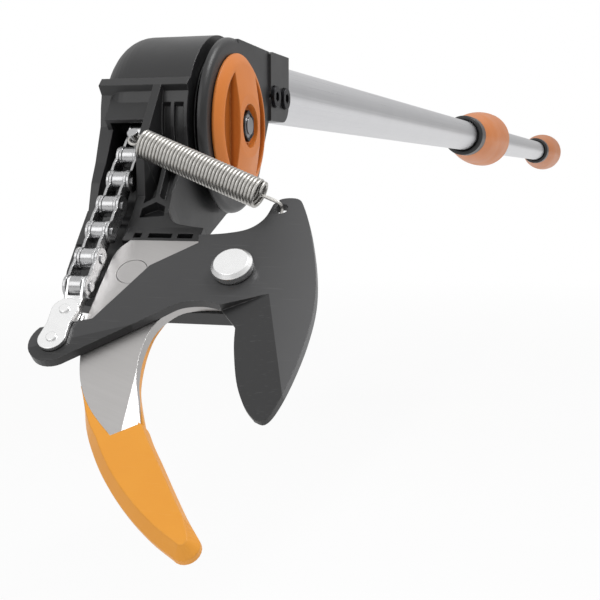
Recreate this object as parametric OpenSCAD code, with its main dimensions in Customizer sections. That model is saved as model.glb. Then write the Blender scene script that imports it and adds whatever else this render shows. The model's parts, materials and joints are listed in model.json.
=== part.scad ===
// Long-handled tree pruner: a chain-driven hook-and-blade head that tilts on the end of a pole.
// Units are millimetres. The pole lies along +Y, the tilt axis along X, and +Z is up.
// The origin is on the pole's axis, at the place where the pole is held.
// Head parts are drawn in head coordinates about the tilt axis: x across the head,
// y from the jaws towards the pole, z out of the blade's face.

/* [Pole] */
// Outside diameter of the pole tube
tube_d = 28; // [26:0.5:30]
// Wall of the pole tube
tube_wall = 1.5; // [1.2:0.1:2]
// Distance from the hold point to the head's tilt axis
head_to_hold = 400; // [300:5:500]
// Distance from the hold point to the sliding ball's centre
grip_from_hold = 397; // [300:1:500]
// Distance from the hold point to the end ball's centre
end_from_hold = 1078; // [900:1:1300]
// Height of the pole's axis above the tilt axis
pole_rise = 19; // [18:0.5:20]
// Diameter of the two drop-shaped balls
ball_d = 56; // [50:1:62]
// Distance from a ball's centre along its neck to the seat of its black collar
neck_len = 106; // [80:1:120]
// Diameter of the necks and of the black collars on them
collar_d = 38; // [36:0.5:42]
// Length of each black collar along the pole
collar_len = 24; // [16:1:30]

/* [Bracket] */
// Radius of the barrel that the head tilts on
barrel_r = 37; // [36:0.5:39]
// Radius of the bracket's round plate
plate_r = 36; // [34:0.5:37]
// Thickness of the bracket's round plate
plate_t = 3.2; // [3:0.1:4]
// Length of the pole socket
socket_len = 26; // [24:1:34]
// Wall of the socket on each side of the tube
socket_wall = 3; // [2.5:0.5:4]
// Diameter of the two socket screws
socket_screw_d = 5; // [4:0.5:6]
// Diameter of the tilt axle
axle_d = 10; // [8:0.5:11]
// Diameter of the locking knob
knob_d = 59; // [54:1:62]
// Thickness of the locking knob at its rim
knob_t = 3.4; // [3:0.2:5]
// Height of the knob's bar above its rim
bar_rise = 2.2; // [1:0.2:3]

/* [Head] */
// Angle of the head from straight, as it stands at rest
tilt = 42; // [20:1:60]
// Width of the head's barrel
barrel_w = 40.5; // [38:0.5:44]
// Wall of the head's barrel
barrel_wall = 3.5; // [3:0.5:4]
// Gap between the head's barrel and the bracket
gap_w = 3.8; // [3.6:0.1:5]
// Distance from the tilt axis to the end of the back plate
frame_len = 110; // [108:0.5:112]
// Thickness of the back plate
back_t = 6; // [5:0.5:8]

/* [Cutting parts] */
// Distance of the pivot from the pole's mid plane
pivot_x = 43.5; // [42:0.5:46]
// Distance of the pivot from the tilt axis
pivot_h = 96.5; // [95:0.5:99]
// Thickness of the blade
blade_t = 3.2; // [2.8:0.1:4]
// Thickness of the hook plate
hook_t = 3.8; // [3:0.2:4.2]
// Angle that the blade turns through to close
blade_swing = 42; // [36:1:44]
// Diameter of the pivot bolt's shank
pivot_d = 8; // [6:0.5:10]
// Diameter of the pivot bolt's head
pivot_head_d = 14.8; // [13:0.2:18]

/* [Chain] */
// Pitch of the chain
pitch = 12.7; // [12:0.1:13.2]
// Diameter of a chain roller
roller_d = 7.8; // [7:0.1:8.4]
// Width of a chain roller
roller_w = 4.6; // [4:0.1:5]
// Height of a link plate
link_h = 8.4; // [7.6:0.2:9]
// Thickness of a link plate
link_t = 1; // [0.8:0.1:1.1]
// Diameter of a chain pin
pin_d = 3.6; // [3:0.1:4]
// Distance of the chain from the pole's mid plane
chain_x = -12.4; // [-13:0.2:-12]

/* [Return spring] */
// Outside diameter of the spring
spring_d = 11; // [10:0.5:12]
// Diameter of the spring wire
wire_d = 1.2; // [1:0.1:1.4]
// Number of curls
curls = 29; // [20:1:30]

/* [Hidden] */
$fn = 64;

// Clearances
fit = 0.05;
slide_gap = 0.3;

// Places along the tilt axis
tube_r = tube_d / 2;
bore_r = tube_r - tube_wall;
plate_right = tube_r + 0.6;
plate_left = plate_right - plate_t;
barrel_right = plate_left - gap_w;
barrel_left = barrel_right - barrel_w;
barrel_in_r = barrel_r - barrel_wall;
barrel_round = 13;
parting_h = 13;
axle_nut_r = axle_d * 0.9;
axle_nut_h = 5;
axle_nut_sink = 2.5;

// Pull cord, its pulley in the gap, and the chain wheel
cord_d = 1.6;
pulley_r = 24;
winding_r = pulley_r - cord_d - slide_gap;
rim_r = 31;
pulley_x = (plate_left + barrel_right) / 2;
pulley_t = gap_w - 2 * slide_gap;
wheel_teeth = 6;
wheel_r = pitch / (2 * sin(180 / wheel_teeth));
sleeve_r = axle_d / 2 + 1.5;
wheel_w = roller_w - 0.6;

// Depths out of the blade's face
back_front = 8.2;
hook_back = back_front + 0.2;
hook_front = hook_back + hook_t;
blade_back = hook_front + slide_gap;
blade_front = blade_back + blade_t;
blade_mid = (blade_back + blade_front) / 2;

// Chain run: it leans a little, and ends at the blade's tail
tail_drop = 34.5;
tail_h = pivot_h + tail_drop;
top_pin_h = tail_h - pitch;
last_roller_h = top_pin_h - pitch;
roller_count = 7;
chain_lean = 4.3;
inner_x = roller_w / 2 + 0.1;
outer_x = inner_x + link_t + 0.15;
chain_half = outer_x + link_t + 0.6;
function chain_z(h) = blade_mid + (top_pin_h - h) * tan(chain_lean);
roller_hs = [for (i = [0 : roller_count - 1]) last_roller_h - i * pitch];

// Travel: the blade's tail lifts the chain, and the chain wheel and pulley follow
tail_dx = chain_x - pivot_x;
tail_dh = tail_h - pivot_h;
shut_x = tail_dx * cos(blade_swing) - tail_dh * sin(blade_swing) + pivot_x;
shut_h = tail_dx * sin(blade_swing) + tail_dh * cos(blade_swing) + pivot_h;
shut_pin_h = shut_h - sqrt(pow(pitch, 2) - pow(chain_x - shut_x, 2));
chain_travel = top_pin_h - shut_pin_h;
chain_drop = chain_travel * tan(chain_lean);
run_gap = 0.8;
grip_travel = chain_travel * pulley_r / wheel_r;

// Return spring from its post to the blade's ear
post_at = [chain_x + 7.8, -47.5, 33];
ear_hole = [pivot_x + 10.3, -(pivot_h - 31.2), blade_front + 2];
ear_d = 4.8;
ear_ease = [-0.4, -0.4, 0];
ear_shut = [
    (ear_hole.x - pivot_x) * cos(blade_swing) + (ear_hole.y + pivot_h) * sin(blade_swing) + pivot_x,
    (ear_hole.y + pivot_h) * cos(blade_swing) - (ear_hole.x - pivot_x) * sin(blade_swing) - pivot_h,
    ear_hole.z];
spring_dir = (ear_hole - post_at) / norm(ear_hole - post_at);
shut_dir = (ear_shut - post_at) / norm(ear_shut - post_at);
spring_stretch = norm(ear_shut - post_at) - norm(ear_hole - post_at);
spring_turn = acos(spring_dir * shut_dir);
post_r = 1.4;
post_root = 27;
coil_start = 5;
coil_end = norm(ear_hole - post_at) - 8;
coil_r = (spring_d - wire_d) / 2;

// Pole places
socket_start = 41;
tube_start = socket_start + 2 - head_to_hold;
socket_end = socket_start + socket_len - head_to_hold;
tube_end = end_from_hold + 8;
key_d = 5;
ball_r = ball_d / 2;
collar_r = collar_d / 2;
ball_land = key_d + 2;
neck_drop = ball_r - collar_r;
neck_run = neck_len - ball_land / 2;
neck_side_r = (pow(neck_run, 2) + pow(neck_drop, 2)) / (2 * neck_drop);
neck_turn = asin(neck_run / neck_side_r);
slot_w = 6;
shoe_len = 26;
cord_at = [pulley_x, pulley_r - pole_rise];

echo(grip_travel = grip_travel, chain_travel = chain_travel, spring_stretch = spring_stretch,
    spring_turn = spring_turn);
echo(spring_axis = cross(spring_dir, shut_dir), spring_dir = spring_dir, shut_dir = shut_dir);
echo(post_at = post_at, wheel_turn = chain_travel / wheel_r * 180 / PI);

// Points of an arc about c
function arc(c, r, from, to, steps = 12) =
    [for (i = [0 : steps]) let (a = from + (to - from) * i / steps) c + r * [cos(a), sin(a)]];

// A smooth curve through hand-chosen points
function curve_at(a, b, c, d, t) =
    0.5 * (2 * b + (c - a) * t + (2 * a - 5 * b + 4 * c - d) * t * t + (3 * b - a - 3 * c + d) * t * t * t);
function curve(p, steps = 5) =
    [for (i = [0 : len(p) - 2], j = [0 : steps - 1])
        curve_at(p[max(i - 1, 0)], p[i], p[i + 1], p[min(i + 2, len(p) - 1)], j / steps), p[len(p) - 1]];

// Outlines are listed with h measured from the tilt axis towards the jaws
function down(p) = [for (q = p) [q.x, -q.y]];

module in_head() {
    translate([0, -head_to_hold, -pole_rise])
        rotate([tilt, 0, 0])
            children();
}

module at_tilt() {
    translate([0, -head_to_hold, -pole_rise])
        children();
}

// A solid of the given outline between two depths out of the blade's face
module plate(points, z0, z1) {
    translate([0, 0, z0])
        linear_extrude(z1 - z0)
            polygon(points);
}

// A solid of the given side outline (y, z) between two places along the tilt axis
module side_plate(points, x0, x1) {
    translate([x0, 0, 0])
        rotate([90, 0, 90])
            linear_extrude(x1 - x0)
                polygon(points);
}

module rod_x(r, x0, x1) {
    translate([x0, 0, 0])
        rotate([0, 90, 0])
            cylinder(r = r, h = x1 - x0);
}

module rod_y(r, y0, y1) {
    translate([0, y0, 0])
        rotate([-90, 0, 0])
            cylinder(r = r, h = y1 - y0);
}

module rod_z(r, z0, z1) {
    translate([0, 0, z0])
        cylinder(r = r, h = z1 - z0);
}

// A turned shape about the tilt axis, listed as [x, r]
module turned_x(points) {
    rotate([0, 90, 0])
        rotate_extrude()
            polygon([for (p = points) [p.y, p.x]]);
}

// A turned shape about the pole's axis, listed as [y, r]
module turned_y(points) {
    rotate([-90, 0, 0])
        rotate_extrude()
            polygon([for (p = points) [p.y, p.x]]);
}

// Pole

module pole_tube() {
    color("lightgray")
        difference() {
            rod_y(tube_r, tube_start, tube_end);
            rod_y(bore_r, tube_start - 1, tube_end + 1);
            slot_end = grip_from_hold + grip_travel;
            for (y = [grip_from_hold, slot_end])
                translate([0, y, 0])
                    rod_z(slot_w / 2, -tube_r - 1, 0);
            translate([-slot_w / 2, grip_from_hold, -tube_r - 1])
                cube([slot_w, grip_travel, tube_r + 1]);
            for (y = socket_screw_ys)
                translate([0, y - head_to_hold, socket_screw_z])
                    rod_x(socket_screw_d / 2 + fit, 0, tube_r + 1);
        }
}

// The two screws stand in the socket's flat side, a little below the pole's axis
socket_screw_z = -4;
socket_screw_ys = [socket_start + 5, socket_start + socket_len - 7];
socket_head_d = socket_screw_d * 1.9;
socket_right = tube_r + 1.6;
socket_left = -(tube_r + socket_wall);
socket_top = tube_r + 1.5;

module pole_bracket() {
    socket_low = -tube_r - 1;
    corner = 9;
    fillet = 2.5;
    color("dimgray")
        difference() {
            union() {
                at_tilt()
                    turned_x(concat([[plate_left, 0]], [[plate_left, plate_r]],
                        arc([plate_right - fillet, plate_r - fillet], fillet, 90, 0, 8), [[plate_right, 0]]));
                // The neck runs from the round plate to the socket
                at_tilt()
                    side_plate([[0, 0], [0.6 * plate_r, -0.78 * plate_r],
                        [socket_start, pole_rise + socket_low], [socket_start, pole_rise + socket_top],
                        [2, plate_r - 0.2]], plate_left, plate_right);
                // The socket has a flat right side with one round corner
                translate([0, -head_to_hold, 0])
                    side_plate(concat(
                        [[socket_start, socket_top - 1], [socket_start + 2, socket_top],
                        [socket_start + socket_len, socket_top - 0.3]],
                        arc([socket_start + socket_len - corner, socket_low + corner], corner, 0, -90, 8),
                        [[socket_start, socket_low]]),
                        socket_left, socket_right);
            }
            rod_y(tube_r + fit, tube_start, socket_end + 1);
            translate([cord_at.x, 0, cord_at.y])
                rod_y(cord_d / 2 + 0.6, -head_to_hold + 2, tube_start + 1);
            at_tilt()
                rod_x(axle_d / 2 + fit, plate_left - 1, plate_right + 1);
            for (y = socket_screw_ys)
                translate([0, y - head_to_hold, socket_screw_z]) {
                    rod_x(socket_screw_d / 2 + fit, 0, socket_right + 1);
                    rod_x(socket_head_d / 2 + slide_gap, socket_right - 0.9, socket_right + 1);
                }
            // The socket's left shoulder is cut clear of the tilting head
            at_tilt()
                rod_x(barrel_r + 2.5, socket_left - 1, plate_left);
        }
}

module socket_screws() {
    head_h = 2.4;
    color("black")
        for (y = socket_screw_ys)
            translate([0, y - head_to_hold, socket_screw_z])
                difference() {
                    union() {
                        rod_x(socket_screw_d / 2, bore_r - 1, socket_right);
                        rod_x(socket_head_d / 2, socket_right - 0.9, socket_right - 0.9 + head_h);
                    }
                    translate([socket_right - 0.9 + head_h - 1.6, 0, 0])
                        rotate([0, 90, 0])
                            cylinder(d = socket_screw_d, h = 3, $fn = 6);
                }
}

module tilt_axle() {
    color("slategray")
        at_tilt() {
            rod_x(axle_d / 2, barrel_left + axle_nut_sink - axle_nut_h, knob_right - 1);
            rod_x(axle_d / 2 - 1.5, knob_right - 1.5, knob_right);
        }
}

module axle_nut() {
    color("slategray")
        at_tilt()
            difference() {
                translate([barrel_left + axle_nut_sink - axle_nut_h, 0, 0])
                    rotate([0, 90, 0])
                        cylinder(r = axle_nut_r, h = axle_nut_h, $fn = 6);
                rod_x(axle_d / 2 + fit, barrel_left - axle_nut_h, barrel_left + axle_nut_h);
            }
}

module end_plug() {
    plug_len = 34;
    color("black")
        translate([0, tube_end - plug_len, 0])
            difference() {
                rod_y(bore_r - fit, 0, plug_len);
                rod_y(2.2, plug_len - 24, plug_len + 1);
            }
}

// A ball about the pole, whose neck narrows towards the head along one arc. It is straight at its
// widest, where the key's hole comes out.
module drop_ball() {
    turned_y(concat([[-neck_len, 0]],
        arc([-ball_land / 2, ball_r - neck_side_r], neck_side_r, 90 + neck_turn, 90, 16),
        arc([ball_land / 2, 0], ball_r, 90, 0, 30)));
}

// A black collar that seats on a ball's neck, with a groove at its seat and an eased mouth
module ball_collar(hole_r) {
    mouth = -neck_len - collar_len;
    round_r = 2;
    mouth_ease = 1.6;
    groove_w = 1.2;
    groove_h = 0.8;
    turned_y(concat(
        [[-neck_len, hole_r], [-neck_len, collar_r - groove_h]],
        [[-neck_len - groove_w, collar_r - groove_h], [-neck_len - groove_w, collar_r]],
        arc([mouth + round_r, collar_r - round_r], round_r, 90, 180, 6),
        [[mouth, hole_r + mouth_ease], [mouth + mouth_ease, hole_r]]));
}

module end_collar() {
    color("black")
        translate([0, end_from_hold, 0])
            ball_collar(tube_r + fit);
}

end_screw_d = 4.2;
end_screw_sink = 16;

module end_ball() {
    color("darkorange")
        translate([0, end_from_hold, 0])
            difference() {
                drop_ball();
                rod_y(tube_r + fit, -neck_len - 1, tube_end - end_from_hold + fit);
                rod_y(end_screw_d / 2 + fit, 0, ball_d);
                rod_y(end_screw_d, end_screw_sink, ball_d);
            }
}

module end_screw() {
    color("gray")
        translate([0, end_from_hold, 0]) {
            rod_y(end_screw_d / 2, -8, end_screw_sink);
            rod_y(end_screw_d - slide_gap, end_screw_sink, end_screw_sink + 3);
        }
}

// Sliding grip

module grip_ball() {
    color("darkorange")
        translate([0, grip_from_hold, 0])
            difference() {
                drop_ball();
                rod_y(tube_r + slide_gap, -neck_len - 1, ball_d);
                rod_z(key_d / 2 + fit, -ball_d, 0);
            }
}

module grip_collar() {
    color("black")
        translate([0, grip_from_hold, 0])
            ball_collar(tube_r + slide_gap);
}

module grip_key() {
    color("gray")
        translate([0, grip_from_hold, 0])
            rod_z(key_d / 2, -ball_r + 3, -bore_r + 6);
}

module cord_shoe() {
    color("black")
        translate([0, grip_from_hold, 0])
            difference() {
                rod_y(bore_r - slide_gap, -shoe_len / 2, shoe_len / 2);
                rod_z(key_d / 2 + fit, -tube_r, -bore_r + 6 + fit);
                translate([cord_at.x, 0, cord_at.y])
                    rod_y(cord_d / 2 + fit, -shoe_len, shoe_len);
            }
}

module pull_cord() {
    color("silver")
        translate([cord_at.x, 0, cord_at.y])
            rod_y(cord_d / 2, -head_to_hold + 0.5, grip_from_hold + shoe_len / 2);
}

// Locking knob

knob_left = plate_right + slide_gap;
knob_rim = knob_left + knob_t;
knob_right = knob_rim + bar_rise;
knob_sink = 3;
knob_sink_d = 18;

module lock_knob() {
    rim = 5.4;
    bar_half = 12;
    floor_t = 1.2;
    foot_t = 0.8;
    knob_r = knob_d / 2;
    pocket_r = knob_r - rim;
    bar_a = asin(bar_half / pocket_r);
    color("darkorange")
        at_tilt()
            difference() {
                union() {
                    turned_x(concat([[knob_left, 0], [knob_left, knob_r]],
                        curve([[knob_left + foot_t, knob_r], [knob_left + 2, knob_r - 1.6],
                            [knob_rim - 0.4, knob_r - 3.4], [knob_rim, pocket_r + 0.6]], 3),
                        [[knob_rim, 0]]));
                    // The bar across the face rises from the rim to a flat round the hole
                    intersection() {
                        turned_x([[knob_left, 0], [knob_left, pocket_r + 0.5], [knob_rim, pocket_r + 0.5],
                            [knob_right, knob_sink_d / 2 + 4], [knob_right, 0]]);
                        translate([0, -bar_half, -knob_d])
                            cube([2 * knob_right, 2 * bar_half, 2 * knob_d]);
                    }
                }
                // Two finger pockets leave the bar between them
                for (side = [0, 180])
                    rotate([side, 0, 0])
                        side_plate(arc([0, 0], pocket_r, 90 + bar_a, 270 - bar_a, 32),
                            knob_left + floor_t, knob_right + 1);
                rod_x(axle_d / 2 + fit, knob_left - 1, knob_right + 1);
                rod_x(knob_sink_d / 2, knob_right - knob_sink, knob_right + 1);
            }
}

module knob_nut() {
    nut_d = 13;
    nut_h = 2.4;
    color("black")
        at_tilt()
            difference() {
                translate([knob_right - knob_sink, 0, 0])
                    rotate([0, 90, 0])
                        cylinder(d = nut_d, h = nut_h, $fn = 6);
                rod_x(axle_d / 2 + fit, knob_left, knob_right + 1);
            }
}

// Head housing

flange_h = 79;
flange_front = hook_front - 0.5;
lip_z = 35.5;
lip_h = 17.3;
lip_step = 4.4;
channel_left = chain_x - chain_half - 6;
channel_right = chain_x + chain_half + 0.8;
plate_back = back_front - back_t;

// Side outline of the housing's body: front lip, falling front, flange, and sloping back
body_side = [[-parting_h, lip_z], [-lip_h, lip_z], [-lip_h - 0.5, lip_z - lip_step], [-28, 23.6], [-43, 18],
    [-flange_h + 14, 12.5], [-flange_h + 7, flange_front], [-flange_h, flange_front], [-flange_h, plate_back],
    [-45, -22], [-20, -31], [-parting_h, -barrel_r + 0.6]];

// Front outline of the housing's body, with a slanting left wall and a foot along the flange
body_front = down(concat(
    [[barrel_left + 2.8, parting_h], [barrel_right, parting_h]],
    curve([[barrel_right, flange_h - 20], [barrel_right + 0.8, flange_h - 14],
        [barrel_right + 5, flange_h - 9], [24, flange_h - 7]], 4),
    [[24, flange_h], [-26, flange_h], [-26.5, flange_h - 17], [barrel_left + 3, 22]]));

// Front outline of the back plate, round about the pivot
pivot_eye = frame_len - pivot_h;
back_outline = down(concat(
    [[-28.7, flange_h - 19], [0, flange_h - 19], [8, flange_h - 14], [24, flange_h - 6]],
    arc([pivot_x, pivot_h], pivot_eye, -100, 90, 20),
    [[6, frame_len], [-20, frame_len - 4], [-22.2, frame_len - 6], [-25.3, frame_len - 18],
    [-27, flange_h - 2]]));

module barrel_profile() {
    turned_x(concat([[barrel_left, 0]],
        arc([barrel_left + barrel_round, barrel_r - barrel_round], barrel_round, 180, 90, 10),
        [[barrel_right, barrel_r], [barrel_right, 0]]));
}

module barrel_hollow() {
    turned_x(concat([[barrel_left + barrel_wall, 0]],
        arc([barrel_left + barrel_round, barrel_r - barrel_round], barrel_round - barrel_wall, 180, 90, 10),
        [[barrel_right - barrel_wall, barrel_in_r], [barrel_right - barrel_wall, 0]]));
    rod_x(sleeve_r + slide_gap, barrel_right - barrel_wall - 1, barrel_right + 1);
    rod_x(axle_d / 2 + slide_gap, barrel_left - 1, barrel_left + barrel_wall + 1);
    rod_x(axle_nut_r + slide_gap, barrel_left - axle_nut_h, barrel_left + axle_nut_sink + fit);
}

cover_screw_xs = [barrel_left + 14, barrel_right - 8];
// The cover's screws keep their way in from the barrel's inner wall
cover_screw_inset = 6.5;
cover_screw_z = cover_screw_inset - barrel_in_r;
cover_boss_r = 5.4;
screw_seat = parting_h + 7;
cover_screw_d = 4;
screw_reach = 4;

module cover_bosses(y0, y1) {
    intersection() {
        barrel_profile();
        for (x = cover_screw_xs)
            translate([x, 0, cover_screw_z])
                rod_y(cover_boss_r, y0, y1);
    }
}

// The rib beside the chain carries the spring's post, and the web falls from it along the barrel
rib_t = 3.4;
web_left = channel_right + rib_t;
web_right = barrel_right - 1.6;
web_floor = 14.5;
rib_side = [[-lip_h, lip_z], [-36, 31], [-46, 28.5], [-flange_h + 21, web_floor], [-flange_h + 21, 0],
    [-lip_h, 0]];

module web_recess() {
    side_plate([[-28.5, 23.6], [-34.5, web_floor + 0.4], [-flange_h + 22, web_floor], [-flange_h + 14, 12.5],
        [-flange_h + 14, 60], [-28.5, 60]], web_left, barrel_right + 30);
}

// The web's moulded pockets: two on the barrel, two beside a forked rib, and a row along the flange
module web_pockets() {
    for (x = [[web_left + 0.4, 0.6], [2.2, web_right]])
        intersection() {
            turned_x([[x[0], barrel_r - 1.8], [x[0], barrel_r + 9], [x[1], barrel_r + 9],
                [x[1], barrel_r - 1.8]]);
            plate(down([[x[0] - 1, 21.5], [x[1] + 1, 21.5], [x[1] + 1, 33], [x[0] - 1, 33]]), 5, 60);
        }
    plate(down([[web_left, 40], [-1.4, 40], [1.2, flange_h - 20.6], [web_left, flange_h - 18]]), 9.5, 40);
    plate(down([[0.4, 40], [web_right, 40], [web_right, flange_h - 19], [3, flange_h - 20.8]]), 9.5, 40);
    plate(down([[web_left, flange_h - 15.8], [2, flange_h - 18.6], [web_right, flange_h - 16.8],
        [web_right + 0.6, flange_h - 12.6], [web_left, flange_h - 11.6]]), 9.5, 40);
    for (x = [[web_left + 0.6, 0.6], [3.4, 12.8], [15, 21]])
        plate(down([[x[0], flange_h - 4], [x[1], flange_h - 4], [x[1], flange_h - 1.6],
            [x[0], flange_h - 1.6]]), back_front, 40);
}

// Hollows in the back, between its ribs
module back_pockets() {
    skin = 3.4;
    plate(down([[-24, 46], [-4, 46], [-4, flange_h - 11], [-22, flange_h - 11]]), -60, back_front - skin);
    plate(down([[-22, flange_h - 7], [-4, flange_h - 7], [-4, frame_len - 8], [-18, frame_len - 8]]),
        -60, back_front - skin);
    plate(down([[-1, flange_h - 13], [9, flange_h - 9.5], [24, flange_h - 2], [27, frame_len - 8],
        [-1, frame_len - 8]]), -60, back_front - skin);
}

module head_frame() {
    floor_gap = link_h / 2 + chain_drop + run_gap;
    roof_gap = link_h / 2 + 1.5;
    mouth_h = 29.5;
    hood_z = chain_z(mouth_h) + roof_gap + 1.8;
    color("dimgray")
        in_head()
            difference() {
                union() {
                    difference() {
                        union() {
                            barrel_profile();
                            intersection() {
                                side_plate(body_side, barrel_left - 10, barrel_right + 30);
                                plate(body_front, -60, 60);
                            }
                            side_plate(rib_side, channel_right, web_left);
                            // The hood over the top of the chain's channel
                            side_plate([[-lip_h, lip_z - lip_step], [-mouth_h, hood_z], [-mouth_h, 10],
                                [-lip_h, 10]], channel_left - 2, web_left);
                        }
                        barrel_hollow();
                        web_recess();
                    }
                    plate(back_outline, plate_back, back_front);
                    cover_bosses(-screw_seat - 5, -parting_h + 1);
                }
                // The cover takes the barrel above the parting plane
                translate([-100, -parting_h, -100])
                    cube(200);
                // The channel that the chain runs in, with its floor along the chain
                side_plate([[-mouth_h, chain_z(mouth_h) - floor_gap],
                    [-frame_len - 5, chain_z(frame_len + 5) - floor_gap], [-frame_len - 5, 60],
                    [-mouth_h, 60]], channel_left, channel_right);
                side_plate([[0, 14], [-40, 12], [-40, chain_z(40) + roof_gap], [0, chain_z(0) + roof_gap]],
                    channel_left, channel_right);
                // Room for the blade's tail to swing past the left wall, which slopes down to it
                side_plate([[-flange_h + 27, 15.8], [-flange_h + 13, back_front + 1],
                    [-frame_len - 5, back_front + 1], [-frame_len - 5, 60], [-flange_h + 27, 60]],
                    barrel_left - 5, channel_right);
                plate(down([[channel_left, flange_h - 11], [channel_right, flange_h - 11],
                    [channel_right, frame_len + 5], [channel_left, frame_len + 5]]), back_front, 60);
                web_pockets();
                back_pockets();
                translate([pivot_x, -pivot_h, 0]) {
                    rod_z(pivot_d / 2 + fit, -30, 30);
                    rod_z(nut_r + slide_gap, -30, plate_back + nut_sink);
                }
                for (p = hook_screw_at)
                    translate([p.x, -p.y, 0])
                        rod_z(hook_screw_d / 2 + fit, back_front - hook_screw_grip - fit, 30);
                translate(post_at)
                    rod_z(post_r + fit, -post_root - fit, 10);
                for (x = cover_screw_xs)
                    translate([x, 0, cover_screw_z]) {
                        rod_y(cover_screw_d / 2 + fit, -60, 0);
                        rod_y(cover_screw_d - 0.2, -60, -screw_seat);
                    }
                translate([chain_x, guide_y, guide_z]) {
                    rod_x(guide_r + slide_gap, -roller_w - slide_gap, roller_w + slide_gap);
                    rod_x(guide_pin_r + fit, -guide_pin_left - fit, guide_pin_right + fit);
                }
            }
}

module head_cover() {
    color("dimgray")
        in_head()
            difference() {
                union() {
                    difference() {
                        barrel_profile();
                        barrel_hollow();
                    }
                    cover_bosses(-parting_h - 1, screw_reach + 3);
                }
                translate([-100, -200 - parting_h + 0.1, -100])
                    cube(200);
                for (x = cover_screw_xs)
                    translate([x, 0, cover_screw_z])
                        rod_y(cover_screw_d / 2 + fit, -60, screw_reach + fit);
            }
}

module cover_screws() {
    color("black")
        in_head()
            for (x = cover_screw_xs)
                translate([x, 0, cover_screw_z]) {
                    rod_y(cover_screw_d / 2, -screw_seat - 1, screw_reach);
                    rod_y(cover_screw_d - 0.5, -screw_seat - 3, -screw_seat);
                }
}

// The chain bends over this roller-shaped guide behind the top of its visible run
guide_h = 36;
guide_r = 5;
guide_y = -guide_h;
guide_z = chain_z(guide_h) - link_h / 2 - chain_drop - guide_r - slide_gap;
guide_pin_r = 2;
guide_pin_left = chain_half + 8.5;
guide_pin_right = 8;

module chain_guide() {
    color("black")
        in_head()
            translate([chain_x, guide_y, guide_z]) {
                rod_x(guide_r, -roller_w, roller_w);
                rod_x(guide_pin_r, -guide_pin_left, guide_pin_right);
            }
}

// Hook

hook_screw_d = 5;
hook_screw_head_d = 11.6;
hook_screw_grip = 3.2;
hook_screw_sink = 1.6;
hook_screw_at = [[3.3, frame_len - 15], [22, frame_len - 10]];

// The hook's outer edge sweeps down from the flange to the tip, and its inner edge is the anvil
hook_outer = [[-4.5, 82], [-6.2, 86], [-6.6, 94], [-5.6, 120], [-1, 138], [4.2, 149], [11, 157.5],
    [20, 165.5]];
hook_inner = [[28, 160.5], [24, 150], [21, 142], [19, 131], [20, 120], [25.5, 111.8], [33, 109.4],
    [43, 109]];
tip_outer = [[2.8, 147], [8.6, 161], [16, 172.5], [24, 182], [33.4, 190.8], [43, 198], [51.6, 203]];
tip_inner = [[58.6, 197], [52.5, 190], [45.5, 181], [38.4, 171.5], [33.4, 165], [30, 160]];
tip_end = [54.6, 199.4];
tip_end_r = 4.7;
tip_back = hook_back - 3;
tip_front = hook_front;

hook_outline = down(concat(
    [[24, flange_h + 0.3], [-2.5, flange_h + 0.3]],
    curve(hook_outer),
    curve(hook_inner),
    arc([pivot_x, pivot_h], 12.2, 75, -90, 16)));

module hook_plate() {
    color("silver")
        in_head()
            difference() {
                plate(hook_outline, hook_back, hook_front);
                translate([pivot_x, -pivot_h, 0])
                    rod_z(pivot_d / 2 + fit, -30, 30);
                for (p = hook_screw_at)
                    translate([p.x, -p.y, 0]) {
                        rod_z(hook_screw_d / 2 + fit, -30, 30);
                        rod_z(hook_screw_head_d / 2, hook_front - hook_screw_sink, 30);
                    }
                // The anvil's ground edge
                translate([20, -138, hook_front])
                    rotate([0, 0, 7])
                        rotate([0, 32, 0])
                            translate([0, -40, 0])
                                cube([20, 44, 10]);
            }
}

module hook_screws() {
    color("silver")
        in_head()
            for (p = hook_screw_at)
                translate([p.x, -p.y, 0]) {
                    rod_z(hook_screw_d / 2, back_front - hook_screw_grip, hook_front - hook_screw_sink);
                    rod_z(hook_screw_head_d / 2 - 0.2, hook_front - hook_screw_sink, hook_front - 0.05);
                }
}

// The end's arc stops short of the curves on both sides, so that no two points of the outline meet
tip_side = concat(curve(tip_outer), arc(tip_end, tip_end_r, 113, -15, 8));
tip_outline = down(concat(tip_side, curve(tip_inner)));
tip_turn = len(tip_side);
tip_points = len(tip_outline);
tip_lead = 8;
tip_ease = 6;

// How much of the draw each point of the outline takes: all of it along the outer edge and the end
function tip_draw(i) = i < tip_turn ? min(1, i / tip_lead) : max(0.3, 1 - (i - tip_turn) / tip_ease);

// The outline drawn in by d, each point along the normal there
function tip_level(d) = [for (i = [0 : tip_points - 1])
    let (t = tip_outline[min(i + 1, tip_points - 1)] - tip_outline[max(i - 1, 0)])
        tip_outline[i] + d * tip_draw(i) * [-t.y, t.x] / norm(t)];

// Triangles of a long outline's face, from side to side, as a hollow side can't be left to one large face
function face_strip(from, n) = [for (i = [0 : ceil(n / 2) - 2])
    let (a = from + i, b = from + n - 1 - i)
        each a + 1 < b - 1 ? [[a, a + 1, b - 1], [a, b - 1, b]] : [[a, a + 1, b]]];

// A solid through outlines of one length, each with its depth out of the blade's face
module drawn_solid(levels, zs) {
    n = len(levels[0]);
    last = len(levels) - 1;
    points = [for (k = [0 : last], q = levels[k]) [q.x, q.y, zs[k]]];
    walls = [for (k = [0 : last - 1], i = [0 : n - 1])
        let (a = k * n + i, b = k * n + (i + 1) % n)
            each [[a, a + n, b + n], [a, b + n, b]]];
    front = [for (f = face_strip(last * n, n)) [f[2], f[1], f[0]]];
    polyhedron(points, concat(walls, face_strip(0, n), front));
}

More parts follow.
